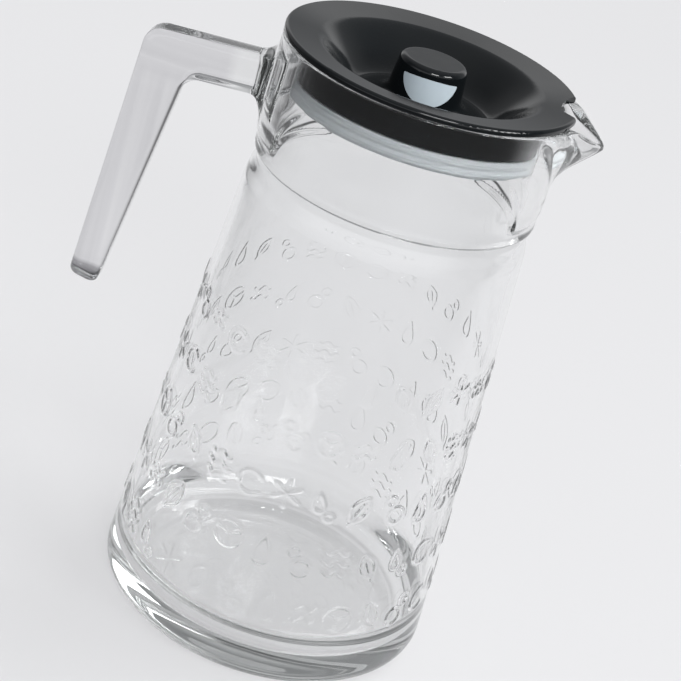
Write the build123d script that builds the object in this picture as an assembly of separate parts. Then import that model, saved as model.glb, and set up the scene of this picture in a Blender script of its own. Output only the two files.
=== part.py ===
from build123d import *
import math, os

os.makedirs("parts", exist_ok=True)

# ---------------------------------------------------------------- driving dimensions (mm)
# +Z is the jug's axis, the origin is on the axis in the plane the base stands on,
# the handle points to -X and the spout to +X
BASE_R = 66.2          # largest radius, just above the heel
HEEL_R = 8.0           # rounding of the heel
FLOOR_Z = 9.5          # glass thickness at the base
SHOULDER_Z = 175.0     # where the tapered wall starts to round in
SHOULDER_R = 54.5
GROOVE_Z = 185.2       # ring groove between shoulder and neck
GROOVE_R = 52.1
WALL = 3.3             # wall thickness of the body
NECK_Z = 188.6         # lower edge of the neck
NECK_R = 54.1
BORE_R = 47.6          # bore of the thick pressed neck, the lid plugs in here
RIM_Z = 232.7          # top of the glass rim
RIM_ROUND = 0.8        # the lip of the spout stays nearly flat on top

# spout
TIP_X = 68.6           # tip of the spout
TIP_Z = 225.8          # top of the lip at the tip
LIP_FALL = 0.56        # fall of the lip towards the tip, mm per mm
SPOUT_RUN = 0.94       # reach of the spout per mm of height
SPOUT_WALL = 3.0
SPOUT_APEX = 3.1       # distance from the sharp corner of the V to its rounded tip
SPOUT_BLEND = 5.0      # size of the blend between the V and the round neck

# handle
BAR_H = 16.2           # height of the horizontal bar
BAR_D = 12.0           # depth of bar and drop
BAR_TILT = 4.0         # the bar falls this much outwards, degrees
BAR_X, BAR_Z = -60.5, 211.3   # middle of the bar where the boss ends
SEAM_X = -68.0         # where the handle is fused on
EDGE_R = 3.2           # rounding along the bar
OUT_TOP_X, OUT_END_X = -102.6, -108.6
IN_TOP_X, IN_END_X = -85.2, -97.4
DROP_END_Z = 112.0
CORNER_R = 7.6
INNER_R = 7.0

# lid
PLATE_R = 55.2
PLATE_Z = 235.5        # top of the rim plate at its outer edge
PLATE_T = 2.5
DISH_R = 43.0          # mouth of the dish
DISH_EDGE_Z = 233.95
DISH_FLOOR_Z = 219.3
KNOB_R = 12.7          # at the top
KNOB_BASE_R = 13.7
KNOB_TOP_Z = 236.5
KNOB_ROUND = 2.3       # rounding of its top edge
LID_T = 2.2            # thickness of the moulding
SKIRT_R = 46.6
SKIRT_BOTTOM_Z = 220.6
CARRIER_R = 44.3       # wall inside the sealing ring
CARRIER_BOTTOM_Z = 214.3
BEAD_R = 45.3          # bead that holds the ring
NOTCH_HALF = 10.2      # half width of the pouring notch at the plate's edge
NOTCH_DEPTH = 6.85
SLOT_HALF = 19.0       # half width of the pouring slot in the skirt
SLOT_Z, SLOT_TOP_Z = 223.6, 230.2
WINDOW_HALF = 9.85     # half width of the half-moon window in the knob
WINDOW_Z = 232.0       # its upper corners
WINDOW_DEEP = 8.95     # from the upper corners down to its lowest point
INSERT_R = 9.6         # core of the knob insert
LID_TURN = -1.0        # the lid sits turned this much from the spout, degrees
WINDOW_TURN = 5.5      # the window looks this much past the square to the notch, degrees

# sealing ring
SEAL_R = 47.25
SEAL_WAIST_R = 46.7
SEAL_BOTTOM_Z = 213.5
GAP = 0.3              # between lid shell, ring and glass


def turned(*points):
    """solid of revolution about Z from (r, z) points joined by straight runs"""
    pts = [(r, 0, z) for r, z in points]
    return revolve(make_face(Polyline(*pts, close=True)), Axis.Z, 360)


def xz(curve):
    """curve drawn in X and Y laid into the XZ plane"""
    return Plane.XZ * curve


# ---------------------------------------------------------------- neck sections with the spout
ANGLES = [i * 2.0 for i in range(0, 19)] + [42 + 6 * i for i in range(0, 23)]
ANGLES = ANGLES + [360 - a for a in reversed(ANGLES) if 0 < a < 180]


def channel(z):
    """cotangent of the half angle of the pouring channel: narrower below the lip than the V outside"""
    return min(1.6, 1.0 + 0.075 * max(RIM_Z - z, 0.0))


def neck_radius(phi, z, base_r, inset, cot=1.0):
    """radius of the neck at angle phi in degrees from +X; inset is 0 outside, SPOUT_WALL inside"""
    a = abs((phi + 180.0) % 360.0 - 180.0)
    below = TIP_Z - 0.6 - z
    reach = TIP_X - SPOUT_RUN * (below + math.sqrt(below * below + 3.0)) / 2.0
    corner = reach + SPOUT_APEX - inset * math.sqrt(2.0)
    tip = reach - inset
    eps = (corner / tip - 1.0) / cot
    t = math.radians(min(a, 45.0))
    v = corner / (math.cos(t) + cot * math.sqrt(math.sin(t) ** 2 + eps * eps))
    v -= 8.0 * (min(a, 60.0) / 45.0) ** 4
    h = max(SPOUT_BLEND - abs(v - base_r), 0.0) / SPOUT_BLEND
    return max(v, base_r) + h * h * SPOUT_BLEND / 4.0


def neck_section(z, base_r, inset, cot=1.0):
    pts = []
    for phi in ANGLES:
        r = neck_radius(phi, z, base_r, inset, cot)
        pts.append((r * math.cos(math.radians(phi)), r * math.sin(math.radians(phi)), z))
    return make_face(Spline(*pts, periodic=True))


# ---------------------------------------------------------------- jug body
outline = [
    Line((0, 0), (BASE_R - HEEL_R, 0)),
    CenterArc((BASE_R - HEEL_R, HEEL_R), HEEL_R, -90, 90),
    Line((BASE_R, HEEL_R), (BASE_R - 0.2, HEEL_R + 4)),
    Line((BASE_R - 0.2, HEEL_R + 4), (SHOULDER_R, SHOULDER_Z)),
    Spline((SHOULDER_R, SHOULDER_Z), (SHOULDER_R - 0.8, SHOULDER_Z + 5.4), (GROOVE_R, GROOVE_Z),
           tangents=((SHOULDER_R - BASE_R, SHOULDER_Z - HEEL_R - 4), (-0.2, 1))),
    Line((GROOVE_R, GROOVE_Z), (GROOVE_R, NECK_Z + 3)),
    Line((GROOVE_R, NECK_Z + 3), (0, NECK_Z + 3)),
    Line((0, NECK_Z + 3), (0, 0)),
]
body = revolve(make_face([xz(c) for c in outline]), Axis.Z, 360)

LEVELS = [NECK_Z + 0.9, 196.0, 203.0, 208.0, 212.0, 216.0, 220.0, 223.0, 226.0, 229.0, RIM_Z]
neck = loft([neck_section(NECK_Z, NECK_R - 0.8, 0.0)] + [neck_section(z, NECK_R, 0.0) for z in LEVELS])

# boss that carries the handle: flares from the bar into the neck
bar_dir = Vector(-math.cos(math.radians(BAR_TILT)), 0, -math.sin(math.radians(BAR_TILT)))


def bar_plane(x, lift=0.0):
    z = BAR_Z - (BAR_X - x) * math.tan(math.radians(BAR_TILT)) + lift
    return Plane(origin=(x, 0, z), x_dir=(0, 1, 0), z_dir=bar_dir)


def bar_face(x, d, h, r, lift=0.0):
    return bar_plane(x, lift) * RectangleRounded(d, h, r)


boss = loft([bar_face(-46.0, 44.0, 36.0, 12.0, -1.0), bar_face(-52.5, 29.0, 30.0, 9.0, -0.7),
             bar_face(-56.0, 19.0, 22.0, 6.0, -0.3), bar_face(-58.6, 13.6, 17.8, 4.0),
             bar_face(BAR_X, BAR_D, BAR_H, EDGE_R)])
stub_len = (BAR_X - SEAM_X) / math.cos(math.radians(BAR_TILT))
stub = extrude(bar_face(BAR_X, BAR_D, BAR_H, EDGE_R), stub_len)

jug = body + neck + boss + stub

# inside of the jug: turned cavity below, lofted bore above
r_in_top = SHOULDER_R - WALL
cavity_outline = [
    Line((0, FLOOR_Z + 0.6), (40.0, FLOOR_Z)),
    Spline((40.0, FLOOR_Z), (56.5, FLOOR_Z + 2.2), (BASE_R - WALL - 0.6, FLOOR_Z + 12.0),
           tangents=((1, 0), (-0.07, 1))),
    Line((BASE_R - WALL - 0.6, FLOOR_Z + 12.0), (r_in_top, SHOULDER_Z)),
    Spline((r_in_top, SHOULDER_Z), (48.5, GROOVE_Z), (BORE_R - 0.25, 194.0),
           tangents=((-0.07, 1), (0.0, 1))),
    Line((BORE_R - 0.25, 194.0), (BORE_R - 0.25, 198.0)),
    Line((BORE_R - 0.25, 198.0), (0, 198.0)),
    Line((0, 198.0), (0, FLOOR_Z + 0.6)),
]
cavity = revolve(make_face([xz(c) for c in cavity_outline]), Axis.Z, 360)
bore = loft([neck_section(z, BORE_R, SPOUT_WALL, channel(z)) for z in [194.5, 197.5, 200.0, 203.0, 205.5, 208.0, 212.0, 216.0, 220.0, 223.0, 226.0, 229.0, RIM_Z, 236.0]])
jug = jug - cavity - bore

# sloping lip of the spout
fall = math.degrees(math.atan(LIP_FALL))
lip = Location((TIP_X, 0, TIP_Z), (0, fall, 0)) * Box(80, 120, 40, align=(Align.CENTER, Align.CENTER, Align.MIN))
jug = jug - lip
# fire-polished edge all round the mouth and the lip
mouth = [e for e in jug.edges() if e.center().Z > 224.0 and math.hypot(e.center().X, e.center().Y) > BORE_R - 6
         and (e.center().X > 40 or (abs(e.center().Y) < 0.5 and e.center().Z > RIM_Z - 0.5))]
jug = fillet(mouth, RIM_ROUND)
print("jug", jug.volume, jug.is_valid, len(jug.solids()))
export_step(jug, "parts/jug_body.step")

# ---------------------------------------------------------------- handle
seam = bar_plane(SEAM_X)
tilt = math.tan(math.radians(BAR_TILT))
n_x, n_z = math.sin(math.radians(BAR_TILT)), -math.cos(math.radians(BAR_TILT))   # down, across the bar
top_seam = (seam.origin.X - n_x * BAR_H / 2, seam.origin.Z - n_z * BAR_H / 2)
low_seam = (seam.origin.X + n_x * BAR_H / 2, seam.origin.Z + n_z * BAR_H / 2)
out_slope = (OUT_END_X - OUT_TOP_X) / (DROP_END_Z - 214.0)
in_slope = (IN_END_X - IN_TOP_X) / (DROP_END_Z - 196.0)


def meet(x0, z0, slope_z, x1, z1, slope_x):
    """point where the line z = z0 + slope_z*(x-x0) meets x = x1 + slope_x*(z-z1)"""
    z = (z0 + slope_z * (x1 - slope_x * z1 - x0)) / (1 - slope_z * slope_x)
    return x1 + slope_x * (z - z1), z


out_corner = meet(top_seam[0], top_seam[1], tilt, OUT_TOP_X, 214.0, out_slope)
in_corner = meet(low_seam[0], low_seam[1], tilt, IN_TOP_X, 196.0, in_slope)
path = [top_seam, out_corner, (OUT_END_X, DROP_END_Z - 0.0), (IN_END_X, DROP_END_Z - 2.0), in_corner, low_seam]
side = make_face(Polyline(*[(x, 0, z) for x, z in path], close=True))
handle = extrude(side, BAR_D / 2, dir=(0, 1, 0), both=True)


def across(shape, x, z):
    """the edge that runs along Y through (x, z)"""
    best = min(shape.edges().filter_by(Axis.Y), key=lambda e: (e.center().X - x) ** 2 + (e.center().Z - z) ** 2)
    return best


handle = fillet(across(handle, *out_corner), CORNER_R)
handle = fillet(across(handle, *in_corner), INNER_R)
handle = fillet(across(handle, OUT_END_X, DROP_END_Z), 3.0)
handle = fillet(across(handle, IN_END_X, DROP_END_Z - 2.0), 3.0)
rim_edges = []
for e in handle.edges():
    c = e.center()
    on_side = abs(abs(c.Y) - BAR_D / 2) < 1e-4
    d = (c - seam.origin).dot(bar_dir)
    if on_side and d > 0.01:
        rim_edges.append(e)
handle = fillet(rim_edges, EDGE_R)
print("handle", handle.volume, handle.is_valid, len(handle.solids()), handle.bounding_box())
export_step(handle, "parts/handle.step")

# ---------------------------------------------------------------- lid shell
pr = PLATE_R
plate_low = PLATE_Z - PLATE_T
t = LID_T
shell_outline = [
    Line((0, KNOB_TOP_Z), (KNOB_R - KNOB_ROUND, KNOB_TOP_Z)),
    RadiusArc((KNOB_R - KNOB_ROUND, KNOB_TOP_Z), (KNOB_R, KNOB_TOP_Z - KNOB_ROUND), KNOB_ROUND),
    Line((KNOB_R, KNOB_TOP_Z - KNOB_ROUND), (KNOB_BASE_R, 224.6)),
    Spline((KNOB_BASE_R, 224.6), (14.5, 222.4), (16.4, 220.9), (19.2, 219.9), (22.2, 219.45), (24.6, DISH_FLOOR_Z)),
    Spline((24.6, DISH_FLOOR_Z), (26.4, 219.65), (28.2, 220.85), (30.6, 223.2), (33.2, 226.1), (35.8, 228.75), (38.0, 230.9), (39.9, 232.5),
           (41.4, 233.45), (DISH_R, DISH_EDGE_Z)),
    Line((DISH_R, DISH_EDGE_Z), (pr - 1.2, PLATE_Z)),
    RadiusArc((pr - 1.2, PLATE_Z), (pr, PLATE_Z - 1.2), 1.2),
    Line((pr, PLATE_Z - 1.2), (pr, plate_low + 0.5)),
    RadiusArc((pr, plate_low + 0.5), (pr - 0.5, plate_low), 0.5),
    Line((pr - 0.5, plate_low), (SKIRT_R, plate_low)),
    Line((SKIRT_R, plate_low), (SKIRT_R - 0.15, SKIRT_BOTTOM_Z + 0.5)),
    RadiusArc((SKIRT_R - 0.15, SKIRT_BOTTOM_Z + 0.5), (SKIRT_R - 0.65, SKIRT_BOTTOM_Z), 0.5),
    Polyline((SKIRT_R - 0.65, SKIRT_BOTTOM_Z), (CARRIER_R, SKIRT_BOTTOM_Z), (CARRIER_R, 217.9),
             (BEAD_R, 217.3), (BEAD_R, 216.3), (CARRIER_R, 215.7), (CARRIER_R, CARRIER_BOTTOM_Z + 0.4),
             (CARRIER_R - 0.4, CARRIER_BOTTOM_Z), (CARRIER_R - 1.8, CARRIER_BOTTOM_Z),
             (CARRIER_R - 1.8, 229.2)),
    Spline((CARRIER_R - 1.8, 229.2), (42.1, 230.0), (41.2, 230.3), (40.2, 229.9), (38.6, 228.4), (37.0, 226.9), (34.8, 224.6),
           (32.4, 221.95), (30.4, 219.9), (28.6, 218.3), (26.8, 217.4), (24.6, DISH_FLOOR_Z - t)),
    Line((24.6, DISH_FLOOR_Z - t), (19.4, DISH_FLOOR_Z - t)),
    Polyline((19.4, DISH_FLOOR_Z - t), (INSERT_R + 0.1, DISH_FLOOR_Z - t), (INSERT_R + 0.1, KNOB_TOP_Z - 2.6),
             (0, KNOB_TOP_Z - 2.6), (0, KNOB_TOP_Z)),
]
shell = revolve(make_face([xz(c) for c in shell_outline]), Axis.Z, 360)

# pouring notch in the rim plate
nd = pr - NOTCH_DEPTH
nh = NOTCH_HALF
notch_line = [
    Spline((nd, 0), (nd + 0.3, 2.0), (nd + 1.05, 3.95), (nd + 3.1, nh - 3.6), (nd + 5.15, nh - 1.15), (pr + 3.0, nh + 4.0),
           tangents=((0, 1), (1, 1.2))),
    Line((pr + 3.0, nh + 4.0), (pr + 3.0, -nh - 4.0)),
    Spline((pr + 3.0, -nh - 4.0), (nd + 5.15, 1.15 - nh), (nd + 3.1, 3.6 - nh), (nd + 1.05, -3.95), (nd + 0.3, -2.0), (nd, 0),
           tangents=((-1, 1.2), (0, 1))),
]
notch = extrude(Plane.XY.offset(plate_low - 2.0) * make_face(notch_line), 12)
# pouring slot through the skirt, from the dish's underside outwards
slot = Location((CARRIER_R - 1.8 + 5.2, 0, SLOT_Z)) * Box(14, 2 * SLOT_HALF, SLOT_TOP_Z - SLOT_Z,
                                                      align=(Align.CENTER, Align.CENTER, Align.MIN))
slot = fillet(slot.edges().filter_by(Axis.X), 2.2)
# half-moon window through the front of the knob


def half_moon(scale):
    """outline of the window on a plane 6 mm in front of the axis: crowned above, half an ellipse below"""
    w, d = WINDOW_HALF * scale, WINDOW_DEEP * scale
    bow = [(-w * math.cos(math.radians(k * 15)), -d * math.sin(math.radians(k * 15))) for k in range(13)]
    face = make_face([Spline(*bow), ThreePointArc((w, 0), (0, 0.9), (-w, 0))])
    face = fillet(face.vertices(), 0.5)
    return Rot(0, 0, WINDOW_TURN) * extrude(Plane(origin=(0, -6.0, WINDOW_Z), x_dir=(1, 0, 0), z_dir=(0, -1, 0)) * face, 12)


window = half_moon(1.0)
shell = Rot(0, 0, LID_TURN) * (shell - notch - slot - window)
print("shell cut", shell.volume, shell.is_valid, len(shell.solids()))
export_step(shell, "parts/lid_shell.step")

# ---------------------------------------------------------------- knob insert, flush in the window
core = Location((0, 0, DISH_FLOOR_Z - t - 1.2)) * Cylinder(INSERT_R, KNOB_TOP_Z - 2.7 - (DISH_FLOOR_Z - t - 1.2),
                                                          align=(Align.CENTER, Align.CENTER, Align.MIN))
flange = Location((0, 0, DISH_FLOOR_Z - t - 2.4)) * Cylinder(INSERT_R + 4.0, 2.4,
                                                          align=(Align.CENTER, Align.CENTER, Align.MIN))
core = core + flange
pocket = Location((0, 0, DISH_FLOOR_Z - t - 3.0)) * Cylinder(INSERT_R - 2.4, 12.0,
                                                           align=(Align.CENTER, Align.CENTER, Align.MIN))
core = core - pocket
lens = Location((0, 0, -0.04)) * half_moon(0.992)
side_top = KNOB_TOP_Z - KNOB_ROUND
knob_skin = turned((0, 215), (KNOB_BASE_R + (224.6 - 215) * (KNOB_BASE_R - KNOB_R) / (side_top - 224.6) - 0.02, 215),
                   (KNOB_R - 0.02, side_top), (0, side_top))
insert = Rot(0, 0, LID_TURN) * (core + (lens & knob_skin))
print("insert", insert.volume, insert.is_valid, len(insert.solids()))
export_step(insert, "parts/knob_insert.step")

# ---------------------------------------------------------------- sealing ring: two lips outside, a groove inside
sr, sw, sb = SEAL_R, SEAL_WAIST_R, SEAL_BOTTOM_Z
top = SKIRT_BOTTOM_Z - GAP
seal = turned((CARRIER_R + GAP, top), (SKIRT_R - 0.3, top), (sr, top - 1.2), (sr, top - 2.2), (sw, top - 3.1),
              (sw, top - 3.5), (sr, top - 4.4), (sr, top - 5.4), (sw - 0.6, sb), (CARRIER_R + GAP + 0.2, sb),
              (CARRIER_R + GAP, sb + 0.3), (CARRIER_R + GAP, 215.4), (BEAD_R + GAP, 216.05), (BEAD_R + GAP, 217.55),
              (CARRIER_R + GAP, 218.2))
print("seal", seal.volume, seal.is_valid, len(seal.solids()))
export_step(seal, "parts/seal_ring.step")
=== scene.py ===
import math
import bpy
import bmesh
import numpy as np
from mathutils import Matrix, Vector


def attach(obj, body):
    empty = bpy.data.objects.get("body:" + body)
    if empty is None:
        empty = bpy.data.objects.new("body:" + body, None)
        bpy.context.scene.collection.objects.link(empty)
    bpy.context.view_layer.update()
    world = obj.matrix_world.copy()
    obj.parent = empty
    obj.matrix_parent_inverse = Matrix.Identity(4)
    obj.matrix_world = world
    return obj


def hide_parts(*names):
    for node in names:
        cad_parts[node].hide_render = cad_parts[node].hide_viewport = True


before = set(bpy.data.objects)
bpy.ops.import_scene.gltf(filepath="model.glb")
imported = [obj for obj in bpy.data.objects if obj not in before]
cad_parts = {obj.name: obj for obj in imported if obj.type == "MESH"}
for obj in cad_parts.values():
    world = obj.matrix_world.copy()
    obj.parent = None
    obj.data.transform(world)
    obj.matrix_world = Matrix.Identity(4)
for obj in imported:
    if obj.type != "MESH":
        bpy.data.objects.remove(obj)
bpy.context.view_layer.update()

MM = 0.001
scene = bpy.context.scene

# ------------------------------------------------------------------ dimensions of the jug (mm), as in the CAD
BASE_R, HEEL_R, FLOOR_Z = 66.2, 8.0, 9.5
SHOULDER_Z, SHOULDER_R = 175.0, 54.5
GROOVE_Z, GROOVE_R = 185.2, 52.1
NECK_Z, NECK_R, BORE_R, RIM_Z = 188.6, 54.1, 47.6, 232.7
TIP_X, TIP_Z, LIP_FALL = 68.6, 225.8, 0.56
SPOUT_RUN, SPOUT_WALL, SPOUT_APEX, SPOUT_BLEND = 0.94, 3.0, 3.1, 5.0
BAR_H, BAR_D, BAR_TILT = 16.2, 12.0, 4.0
BAR_X, BAR_Z, SEAM_X = -60.5, 211.3, -68.0
OUT_TOP_X, OUT_END_X, IN_TOP_X, IN_END_X = -102.6, -108.6, -85.2, -97.4
DROP_END_Z, CORNER_R, INNER_R, EDGE_R = 112.0, 7.6, 7.0, 3.2


def smooth01(t):
    t = np.clip(t, 0.0, 1.0)
    return t * t * (3.0 - 2.0 * t)


def soft_min(a, b, k):
    h = np.maximum(k - np.abs(a - b), 0.0) / k
    return np.minimum(a, b) - h * h * k / 4.0


# ------------------------------------------------------------------ mesh helpers
def mesh_object(name, verts, faces, smooth=True):
    """verts in mm as an (n, 3) array, faces as a list of index arrays, each (m, corners)"""
    verts = np.asarray(verts, dtype=np.float32) * MM
    loops = np.concatenate([f.reshape(-1) for f in faces]).astype(np.int32)
    sizes = np.concatenate([np.full(len(f), f.shape[1], dtype=np.int32) for f in faces])
    starts = np.zeros(len(sizes), dtype=np.int32)
    starts[1:] = np.cumsum(sizes)[:-1]
    me = bpy.data.meshes.new(name)
    me.vertices.add(len(verts))
    me.vertices.foreach_set("co", verts.reshape(-1))
    me.loops.add(len(loops))
    me.loops.foreach_set("vertex_index", loops)
    me.polygons.add(len(sizes))
    me.polygons.foreach_set("loop_start", starts)
    me.polygons.foreach_set("use_smooth", np.full(len(sizes), smooth, dtype=bool))
    me.update(calc_edges=True)
    me.validate()
    ob = bpy.data.objects.new(name, me)
    scene.collection.objects.link(ob)
    return ob


def hermite(p0, t0, p1, t1, u):
    u = u[:, None, None]
    return ((2 * u ** 3 - 3 * u ** 2 + 1) * p0 + (u ** 3 - 2 * u ** 2 + u) * t0
            + (-2 * u ** 3 + 3 * u ** 2) * p1 + (u ** 3 - u ** 2) * t1)


def spline_rz(p0, t0, p1, t1, n):
    """n points of a Hermite curve in the (r, z) half-plane, the first point left out"""
    u = np.linspace(0.0, 1.0, n + 1)[1:, None]
    p0, t0, p1, t1 = (np.array(v, dtype=float) for v in (p0, t0, p1, t1))
    return ((2 * u ** 3 - 3 * u ** 2 + 1) * p0 + (u ** 3 - 2 * u ** 2 + u) * t0
            + (-2 * u ** 3 + 3 * u ** 2) * p1 + (u ** 3 - u ** 2) * t1)


# ------------------------------------------------------------------ shape of the neck, the spout and the side panels
def neck_radius(phi, z, base_r, inset, cot=1.0):
    a = np.abs((phi + 180.0) % 360.0 - 180.0)
    below = TIP_Z - 0.6 - z
    reach = TIP_X - SPOUT_RUN * (below + np.sqrt(below * below + 3.0)) / 2.0
    corner = reach + SPOUT_APEX - inset * math.sqrt(2.0)
    tip = reach - inset
    eps = (corner / tip - 1.0) / cot
    t = np.radians(np.minimum(a, 45.0))
    v = corner / (np.cos(t) + cot * np.sqrt(np.sin(t) ** 2 + eps * eps))
    v = v - 8.0 * (np.minimum(a, 60.0) / 45.0) ** 4
    h = np.maximum(SPOUT_BLEND - np.abs(v - base_r), 0.0) / SPOUT_BLEND
    return np.maximum(v, base_r) + h * h * SPOUT_BLEND / 4.0


def panel(phi, z, r, start, end, power, soft):
    """0 outside and 1 inside the raised side panels over the spout and the handle; start and end are
    their half widths in degrees at z 196 and z 214"""
    a = np.abs((phi + 180.0) % 360.0 - 180.0)
    a = np.minimum(a, 180.0 - a)
    rise = np.clip((z - 196.0) / 18.0, 0.0, 1.6)
    half = start + (end - start) * rise ** power
    side = np.radians(half - a) * r
    low = z - 194.6
    edge = smooth01(soft_min(side, low, 3.0) / (2.0 * soft) + 0.5)
    swell = 0.5 + 0.5 * np.cos(np.radians(2.0 * a))                  # beside the lid it has faded into a broad swell
    t = smooth01((z - 211.0) / 7.0)
    return edge + (swell - edge) * t


def neck_outer(phi, z):
    r = neck_radius(phi, z, NECK_R - 0.1, 0.0)
    a = np.abs((phi + 180.0) % 360.0 - 180.0)
    keep = 1.0 - 0.75 * smooth01((32.0 - a) / 22.0)          # the panel over the spout sinks back towards its middle
    r = r + 0.55 * keep * panel(phi, z, r, 36.5, 57.0, 1.7, 0.95)
    r = r + 0.62 * keep * panel(phi, z, r, 35.0, 45.5, 1.8, 0.7)
    return r


def neck_inner(phi, z):
    return neck_radius(phi, z, BORE_R, SPOUT_WALL, np.clip(1.0 + 0.075 * (RIM_Z - z), 1.0, 1.6))


# ------------------------------------------------------------------ raised pattern on the wall
def arc(cx, cy, r, a0, a1, n=18):
    t = np.radians(np.linspace(a0, a1, n))
    return np.stack([cx + r * np.cos(t), cy + r * np.sin(t)], 1)


def turned_by(line, deg, dx=0.0, dy=0.0):
    c, s = math.cos(math.radians(deg)), math.sin(math.radians(deg))
    line = np.asarray(line, dtype=float)
    return np.stack([line[:, 0] * c - line[:, 1] * s + dx, line[:, 0] * s + line[:, 1] * c + dy], 1)


def drop(size=1.0, deg=0.0, dx=0.0, dy=0.0):
    t = np.linspace(0.0, 2.0 * math.pi, 40)
    x = 3.7 * np.sin(t) * np.sin(t / 2.0) ** 1.4
    y = 5.4 * np.cos(t)
    return turned_by(np.stack([x * size, y * size], 1), deg, dx, dy)


def leaf(deg=0.0, length=10.6, width=2.8, dx=0.0, dy=0.0):
    t = np.linspace(0.0, 1.0, 20)
    side = np.sin(math.pi * t) ** 0.85 * width
    y = (t - 0.5) * length
    lines = [np.stack([side, y], 1), np.stack([-side, y], 1), np.array([[0.0, -0.5 * length - 1.2], [0.0, 0.26 * length]])]
    return [turned_by(l, deg, dx, dy) for l in lines]


def ripples(width=8.6, rows=3, gap=3.9, high=0.8, turn=0.0):
    x = np.linspace(-0.5, 0.5, 26)
    out = []
    for k in range(rows):
        w = width * (1.0 - 0.16 * abs(k - (rows - 1) / 2.0))
        out.append(np.stack([x * w, (k - (rows - 1) / 2.0) * gap + high * np.sin(x * w * 1.25 + turn + 0.7 * k)], 1))
    return out


def crystal(r=5.0, deg=0.0):
    return [turned_by([[-r, 0.0], [r, 0.0]], deg + 60.0 * k) for k in range(3)]


def spoked_wheel(r=4.7, deg=30.0):
    return [arc(0, 0, r, 0, 360, 36)] + [turned_by([[0.0, 0.0], [r, 0.0]], deg + 120.0 * k) for k in range(3)]


def bubbles(flip=1.0):
    return [arc(-1.3 * flip, -2.2, 3.0, 0, 360, 28), arc(1.9 * flip, 3.3, 1.8, 0, 360, 20)]


MOTIFS = [
    [drop(1.0)],
    leaf(-24.0),
    ripples(),
    bubbles(),
    crystal(5.0, 30.0),
    [drop(0.66, 10.0, -1.4, 1.4), arc(2.9, -3.4, 1.5, 0, 360, 18)],
    spoked_wheel(),
    leaf(28.0, 9.6, 2.5),
    ripples(8.4, 2, 4.2, 1.0, 1.6),
    bubbles(-1.0),
    [arc(0, 0, 4.3, 40, 320, 30)],
]
# (height of the row's middle, number of motifs round the wall, first angle, order of the motifs, size)
ROWS = [
    (34.0, 28, 4.0, [6, 1, 3, 0, 2, 7, 4, 9, 5, 1, 10, 8, 6, 0, 3, 7, 2, 5, 4, 1, 9, 0, 8, 6, 7, 3, 10, 5], 1.22),
    (57.5, 28, 9.5, [2, 5, 4, 7, 9, 0, 8, 1, 10, 6, 3, 0, 2, 5, 7, 4, 8, 1, 3, 6, 0, 9, 2, 7, 5, 10, 4, 1], 1.16),
    (81.5, 27, 2.0, [0, 8, 1, 6, 5, 10, 3, 2, 4, 7, 9, 5, 1, 0, 8, 6, 3, 7, 2, 10, 4, 5, 1, 9, 0, 3, 6], 1.10),
    (105.5, 27, 11.0, [3, 7, 2, 10, 0, 4, 1, 9, 5, 8, 6, 7, 0, 3, 4, 10, 2, 1, 5, 9, 6, 8, 0, 7, 2, 4, 10], 1.03),
    (128.5, 27, 5.5, [5, 4, 0, 9, 1, 8, 10, 6, 2, 3, 7, 0, 5, 1, 4, 9, 8, 10, 2, 6, 3, 0, 7, 1, 4, 8, 3], 0.95),
]
STROKE_HALF, STROKE_HIGH = 1.02, 0.42


def wall_r(z):
    """outer radius of the tapered wall"""
    return BASE_R - 0.2 + (SHOULDER_R - BASE_R + 0.2) * (z - HEEL_R - 4.0) / (SHOULDER_Z - HEEL_R - 4.0)


def relief(phi, z):
    """height of the raised pattern over the wall, for angles phi in degrees and heights z"""
    out = np.zeros((len(z), len(phi)))
    for zc, count, first, order, size in ROWS:
        rows = np.nonzero(np.abs(z - zc) < 9.5)[0]
        if not len(rows):
            continue
        r = wall_r(zc)
        pitch = 360.0 / count
        for k in range(count):
            centre = first + k * pitch
            off = (phi - centre + 180.0) % 360.0 - 180.0
            cols = np.nonzero(np.abs(off) < pitch * 0.62)[0]
            if not len(cols):
                continue
            sway = 0.9 * math.sin(2.3 * k + zc)
            x = np.radians(off[cols])[None, :] * r / size + np.zeros((len(rows), 1))
            y = (z[rows] - zc - sway)[:, None] / size + np.zeros((1, len(cols)))
            best = np.full(x.shape, 99.0)
            for line in MOTIFS[order[k % len(order)]]:
                line = np.asarray(line, dtype=float)
                for a, b in zip(line[:-1], line[1:]):
                    ab = b - a
                    t = np.clip(((x - a[0]) * ab[0] + (y - a[1]) * ab[1]) / max(ab @ ab, 1e-9), 0.0, 1.0)
                    best = np.minimum(best, np.hypot(x - a[0] - t * ab[0], y - a[1] - t * ab[1]))
            best = best * size
            h = STROKE_HIGH * (0.5 + 0.5 * np.cos(np.clip(best / STROKE_HALF, 0.0, 1.0) * math.pi))
            out[np.ix_(rows, cols)] = np.maximum(out[np.ix_(rows, cols)], h)
    return out


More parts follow.
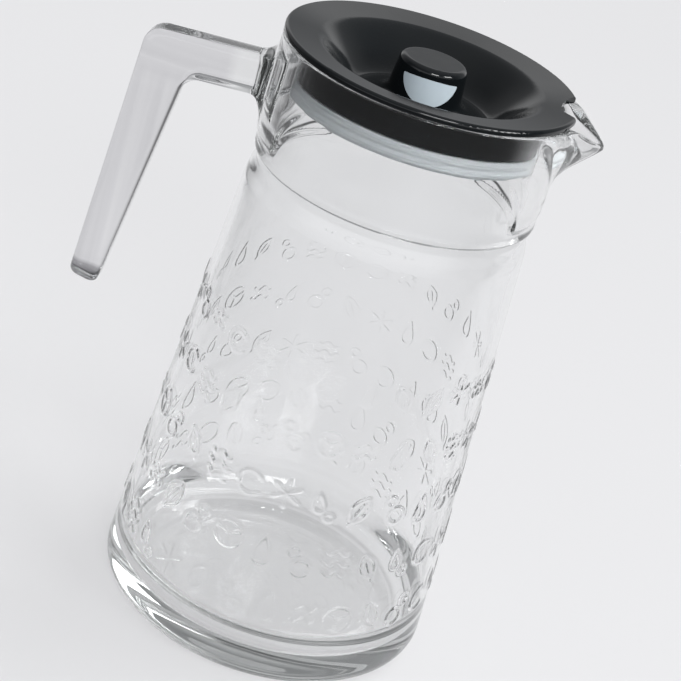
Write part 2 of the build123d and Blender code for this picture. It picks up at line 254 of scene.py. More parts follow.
# ------------------------------------------------------------------ the jug: one skin of glass with wall, neck, spout and handle
def build_glass():
    n, nc = 768, 256
    phi = np.arange(n) * 360.0 / n
    phi_c = np.arange(nc) * 360.0 / nc
    cos_f, sin_f = np.cos(np.radians(phi)), np.sin(np.radians(phi))
    cos_c, sin_c = np.cos(np.radians(phi_c)), np.sin(np.radians(phi_c))

    def ring(r, z):
        return np.stack([r * cos_f, r * sin_f, np.broadcast_to(z, r.shape)], 1)

    def ring_c(r, z):
        return np.stack([r * cos_c, r * sin_c, np.full(nc, z)], 1)

    # coarse rings of the underside, from the middle out: a shallow push-up inside the ring the jug stands on
    under = [(4.0, 1.7), (12.0, 1.68), (20.0, 1.6), (28.0, 1.46), (36.0, 1.22), (43.0, 0.86), (48.0, 0.5), (51.0, 0.24), (53.0, 0.1)]
    # fine rows
    rows = [(54.5, 0.03), (56.0, 0.0), (58.2, 0.0)]
    for k in range(1, 15):
        t = math.radians(90.0 * k / 14)
        rows.append((BASE_R - HEEL_R + HEEL_R * math.sin(t), HEEL_R - HEEL_R * math.cos(t)))
    rows += [(BASE_R - 0.04, HEEL_R + 1.6), (BASE_R - 0.2, HEEL_R + 4.0)]
    rows += [(wall_r(z), z) for z in np.arange(14.0, 24.0, 1.6)]
    z_relief = np.arange(24.6, 167.01, 0.5)
    n_before = len(rows)
    rows += [(wall_r(z), z) for z in z_relief]
    n_after = len(rows)
    rows += [(wall_r(z), z) for z in (168.5, 170.5, 172.6, 175.0)]
    rows += [tuple(p) for p in spline_rz((SHOULDER_R, SHOULDER_Z), (-0.42, 6.0), (SHOULDER_R - 0.95, 180.6), (-0.95, 4.6), 7)]
    rows += [tuple(p) for p in spline_rz((SHOULDER_R - 0.95, 180.6), (-0.85, 3.6), (GROOVE_R, GROOVE_Z), (-0.15, 4.2), 8)]
    rows += [(GROOVE_R, 186.2), (GROOVE_R + 0.03, 187.0), (GROOVE_R + 0.14, 187.6), (GROOVE_R + 0.4, 188.0), (GROOVE_R + 0.85, 188.25),
             (GROOVE_R + 1.35, 188.45), (GROOVE_R + 1.7, 188.75), (GROOVE_R + 1.86, 189.2), (NECK_R - 0.1, 189.8)]
    outer = [ring(np.full(n, r), z) for r, z in rows]
    lift = relief(phi, z_relief)
    for k in range(n_before, n_after):
        r = rows[k][0] + lift[k - n_before]
        outer[k] = ring(r, rows[k][1])

    # neck up to the lip, whose height falls over the spout
    z_top = np.full(n, RIM_Z)
    for _ in range(40):
        r = neck_outer(phi, z_top)
        want = soft_min(np.full(n, RIM_Z), TIP_Z + LIP_FALL * (TIP_X - r * cos_f), 1.2)
        z_top = 0.5 * z_top + 0.5 * want
    z_top = z_top - 1.5                                       # the rounded edge adds 1.5 mm
    neck_rows = 44
    n_neck0 = len(outer)
    for k in range(1, neck_rows + 1):
        z = 189.8 + (z_top - 189.8) * k / neck_rows
        outer.append(ring(neck_outer(phi, z), z))
    # rounded edge
    ro, ri = neck_outer(phi, z_top), neck_inner(phi, z_top)
    for k in range(1, 20):
        t = math.pi * k / 20
        c_, s_ = math.cos(t), math.sin(t)
        r = (ro + ri) / 2 + (ro - ri) / 2 * math.copysign(abs(c_) ** 0.42, c_)
        outer.append(ring(r, z_top + 1.5 * abs(s_) ** 0.42))
    # inside of the neck, downwards
    inner_rows = 30
    for k in range(0, inner_rows + 1):
        z = z_top + (193.0 - z_top) * k / inner_rows
        r = neck_inner(phi, z)
        r = r - 0.25 * smooth01((202.0 - z) / 8.0)
        outer.append(ring(r, z))
    fine = np.array(outer)                                    # rows x n x 3
    # coarse rings of the inside: groove, wall, floor
    inside = [tuple(p) for p in spline_rz((BORE_R - 0.25, 193.0), (0.0, -4.0), (48.3, GROOVE_Z), (1.0, -4.4), 8)]
    inside += [tuple(p) for p in spline_rz((48.3, GROOVE_Z), (1.4, -6.0), (51.2, SHOULDER_Z), (0.6, -6.0), 9)]
    inside += [(51.2 + (62.3 - 51.2) * (SHOULDER_Z - z) / (SHOULDER_Z - 24.0), z) for z in np.arange(170.0, 23.9, -4.0)]
    inside += [tuple(p) for p in spline_rz((62.25, 26.0), (0.75, -12.0), (52.0, 10.2), (-16.0, -1.6), 16)]
    inside += [(48.0, 9.85), (43.0, 9.62), (36.0, 9.6), (28.0, 9.7), (20.0, 9.82), (12.0, 9.92), (4.0, 9.97)]
    coarse_in = np.array([ring_c(r, z) for r, z in inside])
    coarse_un = np.array([ring_c(r, z) for r, z in under])

    # faint unevenness of hot-formed glass on the inside
    def sway(p):
        a = np.arctan2(p[..., 1], p[..., 0])
        d = (0.10 * np.sin(3 * a + p[..., 2] / 31.0) + 0.07 * np.sin(5 * a - p[..., 2] / 23.0 + 1.3)
             + 0.05 * np.sin(p[..., 2] / 9.0 + 2 * a))
        w = smooth01((186.0 - p[..., 2]) / 12.0) * smooth01((p[..., 2] - 16.0) / 12.0)
        r = np.hypot(p[..., 0], p[..., 1])
        s = 1.0 + d * w / np.maximum(r, 1.0)
        q = p.copy()
        q[..., 0] *= s
        q[..., 1] *= s
        return q
    coarse_in = sway(coarse_in)

    verts = [fine.reshape(-1, 3), coarse_un.reshape(-1, 3), coarse_in.reshape(-1, 3)]
    nf = fine.shape[0] * n
    base_un, base_in = nf, nf + len(coarse_un) * nc
    centre_un = nf + (len(coarse_un) + len(coarse_in)) * nc
    centre_in = centre_un + 1
    verts.append(np.array([[0.0, 0.0, 1.7], [0.0, 0.0, 10.0]]))
    faces = []

    # opening in the neck for the handle
    j0, j1 = n // 2 - 32, n // 2 + 32
    i_all = np.arange(fine.shape[0])
    zc = fine[:, n // 2, 2]
    on_neck = (i_all >= n_neck0 - 1) & (i_all < n_neck0 + neck_rows)
    i0 = int(i_all[on_neck][np.argmin(np.abs(zc[on_neck] - 197.2))])
    i1 = int(i_all[on_neck][np.argmin(np.abs(zc[on_neck] - 224.4))])

    def grid_faces(rows_n, cols, start, skip=None):
        i, j = np.meshgrid(np.arange(rows_n - 1), np.arange(cols), indexing="ij")
        keep = np.ones(i.shape, dtype=bool)
        if skip is not None:
            a0, a1, b0, b1 = skip
            keep[a0:a1, b0:b1] = False
        i, j = i[keep], j[keep]
        jn = (j + 1) % cols
        return start + np.stack([i * cols + j, i * cols + jn, (i + 1) * cols + jn, (i + 1) * cols + j], 1)

    faces.append(grid_faces(fine.shape[0], n, 0, (i0, i1, j0, j1)))
    faces.append(grid_faces(len(coarse_un), nc, base_un))
    faces.append(grid_faces(len(coarse_in), nc, base_in))
    jc = np.arange(nc)
    jcn = (jc + 1) % nc
    last_un = base_un + (len(coarse_un) - 1) * nc
    # coarse ring of the underside to the first fine row
    faces.append(np.stack([last_un + jc, last_un + jcn, (3 * jc + 3) % n, 3 * jc + 2, 3 * jc + 1, 3 * jc], 1))
    top = (fine.shape[0] - 1) * n
    faces.append(np.stack([top + 3 * jc, top + 3 * jc + 1, top + 3 * jc + 2, top + (3 * jc + 3) % n, base_in + jcn, base_in + jc], 1))
    faces.append(np.stack([np.full(nc, centre_un), base_un + jcn, base_un + jc], 1))
    last_in = base_in + (len(coarse_in) - 1) * nc
    faces.append(np.stack([last_in + jc, last_in + jcn, np.full(nc, centre_in)], 1))

    # ---- handle: loops from the edge of the opening through the boss along the bar to the end of the drop
    js, is_ = np.arange(j0, j1), np.arange(i0, i1)
    loop_idx = np.concatenate([i0 * n + js, is_ * n + j1, i1 * n + js[::-1] + 1, is_[::-1] * n + n * 1 + j0])
    m = len(loop_idx)
    nb, ns = len(js), len(is_)
    flat = fine.reshape(-1, 3)
    p0 = flat[loop_idx]

    def section(half_y, half_w, r):
        """points of a rounded rectangle, matched to the opening's edge: (y, w) pairs"""
        r = min(r, half_y - 0.01, half_w - 0.01)
        q = []
        for a, (cy, cw) in zip((225, 315, 45, 135), ((-1, -1), (1, -1), (1, 1), (-1, 1))):
            t = np.radians(np.linspace(a - 45.0, a + 45.0, 9))
            q.append(np.stack([cy * (half_y - r) + r * np.cos(t), cw * (half_w - r) + r * np.sin(t)], 1))
        q = np.concatenate(q)                                 # counterclockwise in (y, w)
        q[:, 0] *= -1.0                                       # the opening is walked from +y to -y along its foot
        closed = np.concatenate([q, q[:1]])
        d = np.concatenate([[0.0], np.cumsum(np.hypot(*np.diff(closed, axis=0).T))])
        marks = [d[4], d[13], d[22], d[31], d[-1] + d[4]]
        at = np.concatenate([np.linspace(marks[0], marks[1], nb, endpoint=False), np.linspace(marks[1], marks[2], ns, endpoint=False),
                             np.linspace(marks[2], marks[3], nb, endpoint=False), np.linspace(marks[3], marks[4], ns, endpoint=False)])
        at = at % d[-1]
        return np.stack([np.interp(at, d, closed[:, 0]), np.interp(at, d, closed[:, 1])], 1)

    tilt = math.radians(BAR_TILT)
    bar_dir = np.array([-math.cos(tilt), 0.0, -math.sin(tilt)])
    up = np.array([-math.sin(tilt), 0.0, math.cos(tilt)])     # across the bar, upwards

    def bar_mid(x):
        return np.array([x, 0.0, BAR_Z - (BAR_X - x) * math.tan(tilt)])

    def bar_loop(x, half_y, half_w, r, shift=0.0):
        s = section(half_y, half_w, r)
        return bar_mid(x) + up * shift + s[:, :1] * np.array([[0.0, 1.0, 0.0]]) + s[:, 1:] * up

    # directions that leave the neck along its surface, towards the middle of the opening
    mid = np.array([-NECK_R - 1.0, 0.0, 210.9])
    inward = mid - p0
    rad = p0.copy(); rad[:, 2] = 0.0
    rad /= np.linalg.norm(rad, axis=1)[:, None]
    inward -= (inward * rad).sum(1)[:, None] * rad
    dist = np.linalg.norm(inward, axis=1)[:, None]
    inward /= dist
    p1 = bar_loop(-60.8, BAR_D / 2, BAR_H / 2, EDGE_R)
    gap_yz = np.linalg.norm((p1 - p0)[:, 1:], axis=1)[:, None]
    u = np.linspace(0.0, 1.0, 15)[1:]
    bridge = hermite(p0[None], (inward * gap_yz * 1.55)[None], p1[None], (bar_dir * 8.5)[None, None] + 0 * p1[None], u)
    loops = [l for l in bridge]
    # along the bar, round the corner and down the drop
    top_o = bar_mid(-60.8) + up * BAR_H / 2
    low_i = bar_mid(-60.8) - up * BAR_H / 2

    def meet(p, d, x1, z1, slope):
        """where the line p + t d meets x = x1 + slope (z - z1), in the XZ plane"""
        t = (x1 + slope * (p[2] - z1) - p[0]) / (d[0] - slope * d[2])
        return p + t * d
    so = (OUT_END_X - OUT_TOP_X) / (DROP_END_Z - 214.0)
    si = (IN_END_X - IN_TOP_X) / (DROP_END_Z - 196.0)
    co, ci = meet(top_o, bar_dir, OUT_TOP_X, 214.0, so), meet(low_i, bar_dir, IN_TOP_X, 196.0, si)

    def corner(c, d_in, d_out, r, k):
        """k + 1 points of the arc of radius r that rounds the corner c"""
        turn = math.acos(max(-1.0, min(1.0, float(d_in @ d_out))))
        back = r * math.tan(turn / 2)
        a = c - d_in * back
        nrm = d_out - (d_out @ d_in) * d_in
        nrm /= np.linalg.norm(nrm)
        o = a + nrm * r
        pts = []
        for t in np.linspace(0.0, turn, k + 1):
            pts.append(o - nrm * r * math.cos(t) + d_in * r * math.sin(t))
        return np.array(pts)
    d_o = np.array([so, 0.0, 1.0]) * -1.0; d_o /= np.linalg.norm(d_o)
    d_i = np.array([si, 0.0, 1.0]) * -1.0; d_i /= np.linalg.norm(d_i)
    k_c = 22
    arc_o, arc_i = corner(co, bar_dir, d_o, CORNER_R, k_c), corner(ci, bar_dir, d_i, INNER_R, k_c)
    end_o = np.array([OUT_END_X, 0.0, DROP_END_Z]); end_i = np.array([IN_END_X, 0.0, DROP_END_Z - 2.0])
    # stop short of the end, the rounding adds the rest
    cap = 3.0
    stop_o, stop_i = end_o - d_o * cap, end_i - d_i * cap
    path_o = [top_o + (arc_o[0] - top_o) * t for t in np.linspace(0, 1, 16)[1:-1]]
    path_i = [low_i + (arc_i[0] - low_i) * t for t in np.linspace(0, 1, 16)[1:-1]]
    path_o += list(arc_o); path_i += list(arc_i)
    path_o += [arc_o[-1] + (stop_o - arc_o[-1]) * t for t in np.linspace(0, 1, 41)[1:]]
    path_i += [arc_i[-1] + (stop_i - arc_i[-1]) * t for t in np.linspace(0, 1, 41)[1:]]
    for o, i in zip(path_o, path_i):
        half = np.linalg.norm(o - i) / 2
        w = (o - i) / (2 * half)
        s = section(BAR_D / 2, half, EDGE_R)
        loops.append((o + i) / 2 + s[:, :1] * np.array([[0.0, 1.0, 0.0]]) + s[:, 1:] * w)
    # rounded end
    half = np.linalg.norm(stop_o - stop_i) / 2
    w = (stop_o - stop_i) / (2 * half)
    fwd = (d_o + d_i) / np.linalg.norm(d_o + d_i)
    for k in range(1, 10):
        t = math.radians(10.0 * k)
        less = cap * (1 - math.cos(t))
        s = section(BAR_D / 2 - less, half - less, max(EDGE_R - less * 0.6, 1.2))
        loops.append((stop_o + stop_i) / 2 + fwd * cap * math.sin(t) + s[:, :1] * np.array([[0.0, 1.0, 0.0]]) + s[:, 1:] * w)
    for f in (0.72, 0.42, 0.16):
        s = section((BAR_D / 2 - cap) * f, (half - cap) * f, 1.0)
        loops.append((stop_o + stop_i) / 2 + fwd * (cap + 0.06 * (1 - f)) + s[:, :1] * np.array([[0.0, 1.0, 0.0]]) + s[:, 1:] * w)
    loops = np.array(loops)
    base_h = centre_in + 1
    verts.append(loops.reshape(-1, 3))
    mm = np.arange(m)
    mn = (mm + 1) % m
    faces.append(np.stack([loop_idx[mm], loop_idx[mn], base_h + mn, base_h + mm], 1))
    faces.append(grid_faces(len(loops), m, base_h))
    end_c = base_h + len(loops) * m
    verts.append(((stop_o + stop_i) / 2 + fwd * (cap + 0.07))[None])
    last = base_h + (len(loops) - 1) * m
    faces.append(np.stack([last + mm, last + mn, np.full(m, end_c)], 1))

    verts = np.concatenate(verts)
    # drop the vertices inside the opening
    dead = np.zeros(len(verts), dtype=bool)
    ii, jj = np.meshgrid(np.arange(i0 + 1, i1), np.arange(j0 + 1, j1), indexing="ij")
    dead[(ii * n + jj).reshape(-1)] = True
    new = np.cumsum(~dead) - 1
    faces = [new[f] for f in faces]
    # smooth the seam between neck and boss: weights fall with distance from the opening's edge
    weight = np.zeros(len(verts))
    ii, jj = np.meshgrid(np.arange(i0 - 7, i1 + 8), np.arange(j0 - 9, j1 + 10), indexing="ij")
    d_out = np.maximum(np.maximum(i0 - ii, ii - i1) / 8.0, np.maximum(j0 - jj, jj - j1) / 10.0)
    weight[(ii * n + jj).reshape(-1)] = np.clip(1.0 - d_out, 0.0, 1.0).reshape(-1)
    for k in range(0, 9):
        weight[base_h + k * m: base_h + (k + 1) * m] = 1.0 - k / 9.0
    weight = weight[~dead]
    verts = verts[~dead]
    ob = mesh_object("jug_glass", verts, faces)
    vg = ob.vertex_groups.new(name="seam")
    for v in np.nonzero(weight > 0.01)[0]:
        vg.add([int(v)], float(weight[v]), "REPLACE")
    mod = ob.modifiers.new("seam", "SMOOTH")
    mod.factor, mod.iterations, mod.vertex_group = 0.5, 10, "seam"
    dg = bpy.context.evaluated_depsgraph_get()
    me = bpy.data.meshes.new_from_object(ob.evaluated_get(dg))
    ob.modifiers.clear()
    old = ob.data
    ob.data = me
    bpy.data.meshes.remove(old)
    me.name = "jug_glass"
    ob.vertex_groups.clear()
    return ob


glass = build_glass()
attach(glass, "jug")
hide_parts("jug_body", "handle")


# ------------------------------------------------------------------ the lid: its notch reaches further round on its +Y side
def lid_with_open_notch(node):
    """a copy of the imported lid; the plate's points beyond the notch are turned about the lid's axis, so the plate stays the same
    turned shape and only the notch gets wider"""
    me = node.data.copy()
    me.name = "lid_dark"
    co = np.empty(len(me.vertices) * 3, dtype=np.float32)
    me.vertices.foreach_get("co", co)
    co = co.reshape(-1, 3).astype(float)
    r = np.hypot(co[:, 0], co[:, 1])
    phi = np.degrees(np.arctan2(co[:, 1], co[:, 0])) + 1.0
    w = smooth01((phi + 1.5) / 9.0) * smooth01((50.0 - phi) / 38.0)
    w = w * smooth01((r - 0.0469) / 0.001) * (co[:, 2] > 0.2324)
    a = np.radians(phi - 1.0 + 5.8 * w)
    moved = w > 0.0
    co[moved, 0] = (r * np.cos(a))[moved]
    co[moved, 1] = (r * np.sin(a))[moved]
    me.vertices.foreach_set("co", co.astype(np.float32).reshape(-1))
    me.update()
    ob = bpy.data.objects.new("lid_dark", me)
    scene.collection.objects.link(ob)
    return ob


lid = lid_with_open_notch(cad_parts["lid_shell"])
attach(lid, "lid")
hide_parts("lid_shell")


# ------------------------------------------------------------------ node helpers
def material(name):
    mat = bpy.data.materials.new(name)
    mat.use_nodes = True
    nt = mat.node_tree
    return mat, nt, nt.nodes["Principled BSDF"]


def add(nt, kind, **sockets):
    node = nt.nodes.new(kind)
    for key, value in sockets.items():
        if key in node.inputs:
            node.inputs[key].default_value = value
        else:
            setattr(node, key, value)
    return node


def noise(nt, coord, scale, detail=2.0, rough=0.5, distortion=0.0):
    node = nt.nodes.new("ShaderNodeTexNoise")
    node.inputs["Scale"].default_value = scale
    node.inputs["Detail"].default_value = detail
    node.inputs["Roughness"].default_value = rough
    node.inputs["Distortion"].default_value = distortion
    nt.links.new(coord, node.inputs["Vector"])
    return node.outputs["Fac"]


def ramp(nt, fac, stops):
    node = nt.nodes.new("ShaderNodeValToRGB")
    els = node.color_ramp.elements
    while len(els) < len(stops):
        els.new(0.5)
    for el, (pos, col) in zip(els, stops):
        el.position = pos
        el.color = (*col, 1.0) if len(col) == 3 else col
    nt.links.new(fac, node.inputs["Fac"])
    return node.outputs["Color"]


def map_range(nt, value, a, b, c, d):
    node = nt.nodes.new("ShaderNodeMapRange")
    for key, v in zip(("From Min", "From Max", "To Min", "To Max"), (a, b, c, d)):
        node.inputs[key].default_value = v
    nt.links.new(value, node.inputs["Value"])
    return node.outputs["Result"]


def bump(nt, height, strength, distance):
    node = nt.nodes.new("ShaderNodeBump")
    node.inputs["Strength"].default_value = strength
    node.inputs["Distance"].default_value = distance
    nt.links.new(height, node.inputs["Height"])
    return node.outputs["Normal"]


def coords(nt):
    return nt.nodes.new("ShaderNodeTexCoord").outputs["Object"]


# ------------------------------------------------------------------ materials
def glass_material():
    mat, nt, bsdf = material("clear_glass")
    c = coords(nt)
    bsdf.inputs["Transmission Weight"].default_value = 1.0
    bsdf.inputs["IOR"].default_value = 1.5
    # the solid bar of the handle is painted a little greyer than the walls, with faint streaks along it: painted shade
    # for the thick glass
    xyz = nt.nodes.new("ShaderNodeSeparateXYZ")
    nt.links.new(c, xyz.inputs["Vector"])
    streaks = []
    for scale in ((230.0, 40.0, 5.0), (5.0, 40.0, 230.0)):
        stretch = nt.nodes.new("ShaderNodeMapping")
        stretch.inputs["Scale"].default_value = scale
        nt.links.new(c, stretch.inputs["Vector"])
        streaks.append(noise(nt, stretch.outputs["Vector"], 1.0, 2.0, 0.55))
    pick = nt.nodes.new("ShaderNodeMix")
    pick.data_type = "FLOAT"
    nt.links.new(map_range(nt, xyz.outputs["Z"], 0.193, 0.203, 0.0, 1.0), pick.inputs[0])
    nt.links.new(streaks[0], pick.inputs[2])
    nt.links.new(streaks[1], pick.inputs[3])
    painted_streak_shade = ramp(nt, pick.outputs[0], [(0.32, (0.80, 0.795, 0.81)), (0.50, (0.86, 0.855, 0.87)), (0.68, (0.93, 0.925, 0.935))])
    # painted shade: the rounded end of the drop is painted dark
    end = ramp(nt, map_range(nt, xyz.outputs["Z"], 0.1115, 0.1160, 0.0, 1.0), [(0.0, (0.03, 0.03, 0.034)), (0.60, (0.26, 0.26, 0.27)), (1.0, (1.0, 1.0, 1.0))])
    painted_handle_shade = nt.nodes.new("ShaderNodeMix")
    painted_handle_shade.data_type, painted_handle_shade.blend_type = "RGBA", "MULTIPLY"
    painted_handle_shade.inputs[0].default_value = 1.0
    nt.links.new(painted_streak_shade, painted_handle_shade.inputs[6])
    nt.links.new(end, painted_handle_shade.inputs[7])
    # a faint real tint on the walls, and the painted shade on the handle beyond x -0.067
    glass_tint_and_shade = nt.nodes.new("ShaderNodeMix")
    glass_tint_and_shade.data_type = "RGBA"
    nt.links.new(map_range(nt, xyz.outputs["X"], -0.0712, -0.0668, 1.0, 0.0), glass_tint_and_shade.inputs[0])
    glass_tint_and_shade.inputs[6].default_value = (0.995, 0.997, 0.998, 1.0)
    nt.links.new(painted_handle_shade.outputs[2], glass_tint_and_shade.inputs[7])
    nt.links.new(glass_tint_and_shade.outputs[2], bsdf.inputs["Base Color"])
    rough = map_range(nt, noise(nt, c, 60.0, 4.0, 0.6), 0.45, 0.8, 0.0, 0.03)
    nt.links.new(rough, bsdf.inputs["Roughness"])
    nt.links.new(bump(nt, noise(nt, c, 28.0, 1.0, 0.4), 0.035, 0.0012), bsdf.inputs["Normal"])
    soak = nt.nodes.new("ShaderNodeVolumeAbsorption")
    soak.inputs["Color"].default_value = (0.10, 0.13, 0.12, 1.0)
    soak.inputs["Density"].default_value = 6.0
    out = [n for n in nt.nodes if n.type == "OUTPUT_MATERIAL"][0]
    nt.links.new(soak.outputs["Volume"], out.inputs["Volume"])
    return mat


def lid_material():
    mat, nt, bsdf = material("lid_plastic")
    c = coords(nt)
    tone = ramp(nt, noise(nt, c, 18.0, 3.0, 0.55), [(0.3, (0.0036, 0.0048, 0.0056)), (0.7, (0.0050, 0.0064, 0.0074))])
    nt.links.new(tone, bsdf.inputs["Base Color"])
    rough = map_range(nt, noise(nt, c, 140.0, 4.0, 0.6), 0.3, 0.8, 0.09, 0.15)
    nt.links.new(rough, bsdf.inputs["Roughness"])
    nt.links.new(bump(nt, noise(nt, c, 45.0, 2.0, 0.5), 0.05, 0.0006), bsdf.inputs["Normal"])
    bsdf.inputs["IOR"].default_value = 1.5
    bsdf.inputs["Specular IOR Level"].default_value = 0.36
    return mat


def insert_material():
    mat, nt, bsdf = material("insert_plastic")
    c = coords(nt)
    tone = ramp(nt, noise(nt, c, 40.0, 3.0, 0.5), [(0.3, (0.475, 0.55, 0.60)), (0.7, (0.505, 0.58, 0.63))])
    nt.links.new(tone, bsdf.inputs["Base Color"])
    rough = map_range(nt, noise(nt, c, 200.0, 3.0, 0.6), 0.3, 0.8, 0.32, 0.42)
    nt.links.new(rough, bsdf.inputs["Roughness"])
    bsdf.inputs["Subsurface Weight"].default_value = 0.15
    bsdf.inputs["Subsurface Radius"].default_value = (0.004, 0.004, 0.004)
    return mat


def seal_material():
    mat, nt, bsdf = material("seal_silicone")
    c = coords(nt)
    tone = ramp(nt, noise(nt, c, 30.0, 3.0, 0.5), [(0.3, (0.84, 0.895, 0.93)), (0.7, (0.89, 0.935, 0.965))])
    nt.links.new(tone, bsdf.inputs["Base Color"])
    rough = map_range(nt, noise(nt, c, 160.0, 4.0, 0.6), 0.3, 0.8, 0.38, 0.52)
    nt.links.new(rough, bsdf.inputs["Roughness"])
    bsdf.inputs["Subsurface Weight"].default_value = 0.3
    bsdf.inputs["Subsurface Radius"].default_value = (0.003, 0.003, 0.003)
    return mat


def assign(ob, mat):
    if not ob.data.materials:
        ob.data.materials.append(mat)
    for k in range(len(ob.data.materials)):
        ob.data.materials[k] = mat


assign(glass, glass_material())
assign(lid, lid_material())
assign(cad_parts["knob_insert"], insert_material())
assign(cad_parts["seal_ring"], seal_material())

# ------------------------------------------------------------------ floor
def floor():
    bm = bmesh.new()
    size, parts = 3.0, 12
    pts = np.linspace(-size, size, parts + 1)
    vs = [[bm.verts.new((x, y + 1.2, 0.0)) for x in pts] for y in pts]
    for i in range(parts):
        for j in range(parts):
            bm.faces.new((vs[i][j], vs[i][j + 1], vs[i + 1][j + 1], vs[i + 1][j]))
    me = bpy.data.meshes.new("floor")
    bm.to_mesh(me)
    bm.free()
    ob = bpy.data.objects.new("floor", me)
    scene.collection.objects.link(ob)
    mat, nt, bsdf = material("floor_paper")
    c = coords(nt)
    tone = ramp(nt, noise(nt, c, 2.0, 2.0, 0.5), [(0.3, (0.200, 0.200, 0.203)), (0.7, (0.204, 0.204, 0.207))])
    # the light on the paper falls off to the front and to the left of the jug
    fall = []
    for direction, near, far in (((0.478, -0.879, 0.0), 0.10, 0.36), ((-0.954, -0.30, 0.0), 0.15, 0.42)):
        dot = nt.nodes.new("ShaderNodeVectorMath")
        dot.operation = "DOT_PRODUCT"
        nt.links.new(c, dot.inputs[0])
        dot.inputs[1].default_value = direction
        node = nt.nodes.new("ShaderNodeMapRange")
        node.interpolation_type = "SMOOTHSTEP"
        for key, v in zip(("From Min", "From Max", "To Min", "To Max"), (near, far, 1.0, 0.16)):
            node.inputs[key].default_value = v
        nt.links.new(dot.outputs["Value"], node.inputs["Value"])
        fall.append(node.outputs["Result"])
    low = nt.nodes.new("ShaderNodeMath")
    low.operation = "MINIMUM"
    nt.links.new(fall[0], low.inputs[0])
    nt.links.new(fall[1], low.inputs[1])
    shade = nt.nodes.new("ShaderNodeVectorMath")
    shade.operation = "SCALE"
    nt.links.new(tone, shade.inputs[0])
    nt.links.new(low.outputs[0], shade.inputs["Scale"])
    nt.links.new(shade.outputs["Vector"], bsdf.inputs["Base Color"])
    bsdf.inputs["Roughness"].default_value = 0.9
    # painted light: the paper glows of itself, which keeps the shade under and beside the jug pale; the glow fades with
    # the same falloff as its colour
    bsdf.inputs["Emission Color"].default_value = (1.0, 1.0, 1.018, 1.0)
    nt.links.new(map_range(nt, low.outputs[0], 0.0, 1.0, 0.0, 0.545), bsdf.inputs["Emission Strength"])
    bsdf.inputs["Specular IOR Level"].default_value = 0.1
    me.materials.append(mat)


floor()

# ------------------------------------------------------------------ light
world = bpy.data.worlds.new("studio")
scene.world = world
world.use_nodes = True
wt = world.node_tree
wt.nodes.clear()
wc = wt.nodes.new("ShaderNodeTexCoord")
sep = wt.nodes.new("ShaderNodeSeparateXYZ")
wt.links.new(wc.outputs["Generated"], sep.inputs["Vector"])
depth = ramp(wt, map_range(wt, sep.outputs["Y"], -1.0, 1.0, 0.0, 1.0),
             [(0.0, (0.20, 0.205, 0.215)), (0.30, (0.17, 0.175, 0.185)), (0.48, (0.12, 0.125, 0.135)), (0.60, (0.22, 0.225, 0.235)),
              (0.76, (0.36, 0.365, 0.375)), (0.87, (0.38, 0.385, 0.395)), (0.93, (0.95, 0.955, 0.965)), (0.956, (0.86, 0.865, 0.875)),
              (0.976, (0.37, 0.375, 0.385)), (1.0, (0.35, 0.355, 0.365))])
high = ramp(wt, sep.outputs["Z"], [(0.60, (0.0, 0.0, 0.0)), (0.94, (1.0, 1.0, 1.0))])
low = ramp(wt, map_range(wt, sep.outputs["Z"], -0.12, 0.03, 0.0, 1.0), [(0.0, (0.0, 0.0, 0.0)), (1.0, (1.0, 1.0, 1.0))])


def blend_colour(tree, factor, a, b):
    """a where the factor is 0, b where it is 1; either may be a socket or a colour"""
    node = tree.nodes.new("ShaderNodeMix")
    node.data_type = "RGBA"
    socket = {i.name: i for i in node.inputs if i.enabled}
    tree.links.new(factor, socket["Factor"])
    for key, value in (("A", a), ("B", b)):
        if isinstance(value, tuple):
            socket[key].default_value = value
        else:
            tree.links.new(value, socket[key])
    return [o for o in node.outputs if o.enabled][0]


sky = blend_colour(wt, high, depth, (0.46, 0.465, 0.475, 1.0))
front = wt.nodes.new("ShaderNodeMath")
front.operation = "MULTIPLY"
wt.links.new(map_range(wt, sep.outputs["Y"], -0.65, -0.25, 1.0, 0.0), front.inputs[0])
wt.links.new(map_range(wt, sep.outputs["Z"], 0.30, 0.46, 1.0, 0.0), front.inputs[1])
sky = blend_colour(wt, front.outputs[0], sky, (1.02, 1.035, 1.055, 1.0))
sky = blend_colour(wt, low, (0.10, 0.102, 0.108, 1.0), sky)
bg = wt.nodes.new("ShaderNodeBackground")
bg.inputs["Strength"].default_value = 1.0
wt.links.new(sky, bg.inputs["Color"])
wo = wt.nodes.new("ShaderNodeOutputWorld")
wt.links.new(bg.outputs["Background"], wo.inputs["Surface"])

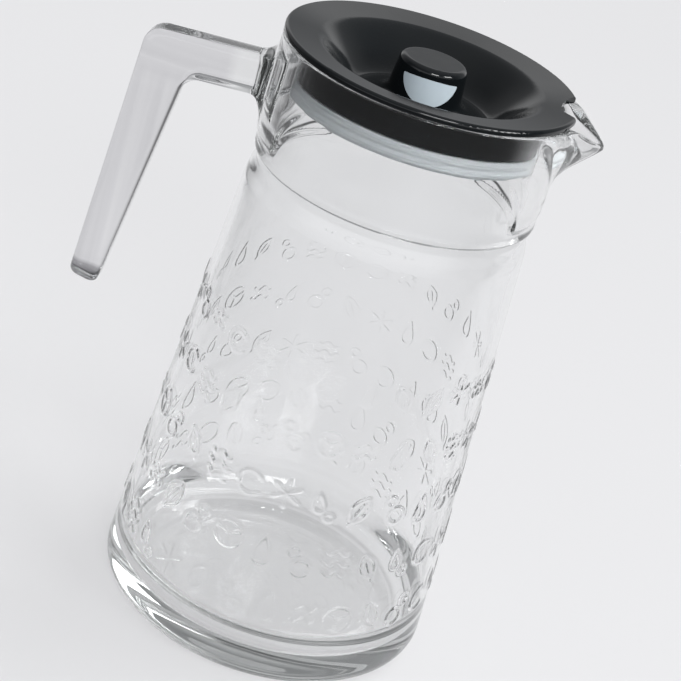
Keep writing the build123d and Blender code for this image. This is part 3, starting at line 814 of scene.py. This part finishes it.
# light finds its way through several walls of glass
scene.cycles.max_bounces = 40
scene.cycles.glossy_bounces = 24
scene.cycles.transmission_bounces = 36


def area(name, place, aim, size, power, colour=(1.0, 1.0, 1.0), shape="RECTANGLE"):
    light = bpy.data.lights.new(name, "AREA")
    light.shape = shape
    light.size = size[0]
    if shape in ("RECTANGLE", "ELLIPSE"):
        light.size_y = size[1]
    light.energy = power
    light.color = colour
    ob = bpy.data.objects.new(name, light)
    scene.collection.objects.link(ob)
    ob.location = place
    ob.rotation_euler = (Vector(aim) - Vector(place)).to_track_quat("-Z", "Y").to_euler()
    return ob


sun = bpy.data.lights.new("sun", "SUN")
sun.energy = 2.3
sun.angle = math.radians(48.0)
sun_ob = bpy.data.objects.new("sun", sun)
scene.collection.objects.link(sun_ob)
sun_ob.visible_glossy = False
for name, place in (("pane_front", (0.55, -1.90, 1.35)), ("pane_side", (1.80, -0.90, 1.35))):
    area(name, place, (0.0, 0.0, 0.22), (0.95, 0.50), 25.0)
sun_ob.rotation_euler = (Vector((0.0, 0.0, 0.0)) - Vector((0.9, 0.75, 1.5))).to_track_quat("-Z", "Y").to_euler()

# ------------------------------------------------------------------ camera
cam = bpy.data.cameras.new("camera")
cam.sensor_fit = "HORIZONTAL"
cam.sensor_width = 36.0
cam.lens = 1918.24 * 36.0 / 681.0
cam.clip_start, cam.clip_end = 0.05, 30.0
eye = bpy.data.objects.new("camera", cam)
scene.collection.objects.link(eye)
yaw, pitch, roll = -0.0008, 0.4587, 0.3204
fwd = Vector((math.sin(yaw) * math.cos(pitch), math.cos(yaw) * math.cos(pitch), -math.sin(pitch)))
right = Vector((math.cos(yaw), -math.sin(yaw), 0.0))
up_v = right.cross(fwd)
cx = math.cos(roll) * right + math.sin(roll) * up_v
cy = -math.sin(roll) * right + math.cos(roll) * up_v
cz = -fwd
eye.matrix_world = Matrix(((cx.x, cy.x, cz.x, 0.0), (cx.y, cy.y, cz.y, -0.66280), (cx.z, cy.z, cz.z, 0.44548), (0, 0, 0, 1)))
scene.camera = eye
scene.view_settings.view_transform = "Standard"
scene.view_settings.look = "None"
